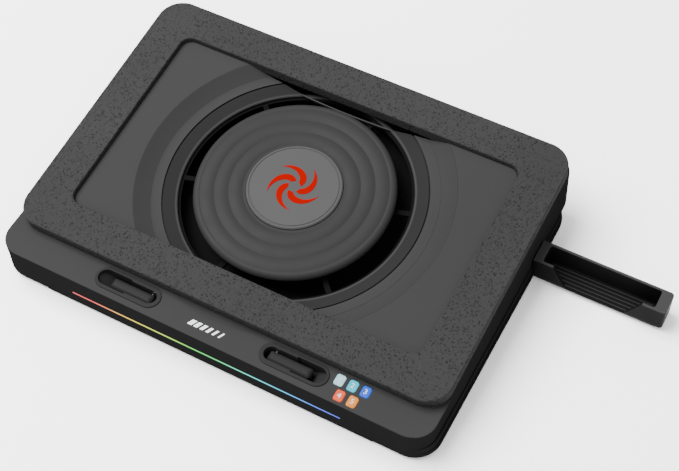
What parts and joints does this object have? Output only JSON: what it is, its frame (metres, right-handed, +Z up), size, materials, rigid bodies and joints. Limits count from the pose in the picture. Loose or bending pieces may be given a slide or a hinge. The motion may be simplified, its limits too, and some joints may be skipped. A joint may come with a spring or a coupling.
{
  "type": "laptop cooling pad",
  "caption": "Laptop cooling pad: sloped foam-sealed deck over one turbo fan, light bar, preset keys, flip-up stoppers and a slide-out phone tray.",
  "frame": {"origin": "on the table, under the middle of the whole object's outline with the phone tray pulled out", "axes": "+X to the user's right, along the tray; +Y to the rear, where the deck is high; +Z up"},
  "size_m": [0.5126, 0.2817, 0.0705],
  "materials": {
    "shell": "fine matt texture",
    "shell_dark": "satin",
    "foam": "open-cell foam",
    "deck": "fine matt texture",
    "cover": "satin",
    "emblem": "satin",
    "inner_black": "matt",
    "tray": "satin",
    "rubber": "matt",
    "steel": "ground",
    "screw": "black oxide",
    "brass": "turned",
    "core": "laminated",
    "board": "solder mask",
    "mesh": "nylon mesh",
    "glow": "lit diffuser",
    "key": "lit translucent"
  },
  "bodies": {
    "base": {"bearing_lower": "steel", "bearing_tube": "brass", "bearing_upper": "steel", "bottom_shell": "shell_dark", "case_screws": "screw", "control_board": "board", "cover_spider": "inner_black", "dc_socket": "inner_black", "deck_dish": "deck", "dust_filter": "mesh", "emblem_disc": "emblem", "fan_cover": "cover", "fan_housing": "inner_black", "foam_seal": "foam", "front_fascia": "shell_dark", "housing_screws": "screw", "intake_grille": "shell_dark", "key_switches": "inner_black", "light_board": "board", "light_guide": "glow", "motor_stator": "core", "port_panel": "shell_dark", "rubber_foot_front_left": "rubber", "rubber_foot_front_right": "rubber", "rubber_foot_rear_left": "rubber", "rubber_foot_rear_right": "rubber", "stopper_bezel_left": "shell_dark", "stopper_bezel_right": "shell_dark", "stopper_pin_left": "steel", "stopper_pin_right": "steel", "top_shell": "shell", "tray_guide": "inner_black", "usb_socket_1": "steel", "usb_socket_2": "steel"},
    "impeller": {"impeller": "inner_black", "rotor_cup": "steel", "fan_shaft": "steel"},
    "phone_tray": {"phone_tray": "tray"},
    "stopper_arm_left": {"stopper_arm_left": "tray"},
    "stopper_arm_right": {"stopper_arm_right": "tray"},
    "key_1": {"key_1": "key"},
    "key_2": {"key_2": "key"},
    "key_3": {"key_3": "key"},
    "key_4": {"key_4": "key"},
    "key_5": {"key_5": "key"}
  },
  "joints": [
    {"name": "fan_spin", "type": "hinge", "parent": "base", "child": "impeller", "pos_m": [-0.0557, 0.01473, 0.03116], "axis": [0, -0.0906, 0.9959], "continuous": true},
    {"name": "tray_slide", "type": "slide", "parent": "base", "child": "phone_tray", "axis": [1, 0, 0], "range_m": [-0.102, 0]},
    {"name": "stopper_left_flip", "type": "hinge", "parent": "base", "child": "stopper_arm_left", "pos_m": [-0.1133, -0.12514, 0.0314], "axis": [0, 1, 0], "range_deg": [0, 90]},
    {"name": "stopper_right_flip", "type": "hinge", "parent": "base", "child": "stopper_arm_right", "pos_m": [0.0019, -0.12514, 0.0314], "axis": [0, -1, 0], "range_deg": [0, 90]},
    {"name": "key_1_press", "type": "slide", "parent": "base", "child": "key_1", "axis": [0, 0, -1], "range_m": [0, 0.0005], "stiffness_N_per_m": 2400},
    {"name": "key_2_press", "type": "slide", "parent": "base", "child": "key_2", "axis": [0, 0, -1], "range_m": [0, 0.0005], "stiffness_N_per_m": 2400},
    {"name": "key_3_press", "type": "slide", "parent": "base", "child": "key_3", "axis": [0, 0, -1], "range_m": [0, 0.0005], "stiffness_N_per_m": 2400},
    {"name": "key_4_press", "type": "slide", "parent": "base", "child": "key_4", "axis": [0, 0, -1], "range_m": [0, 0.0005], "stiffness_N_per_m": 2400},
    {"name": "key_5_press", "type": "slide", "parent": "base", "child": "key_5", "axis": [0, 0, -1], "range_m": [0, 0.0005], "stiffness_N_per_m": 2400}
  ]
}
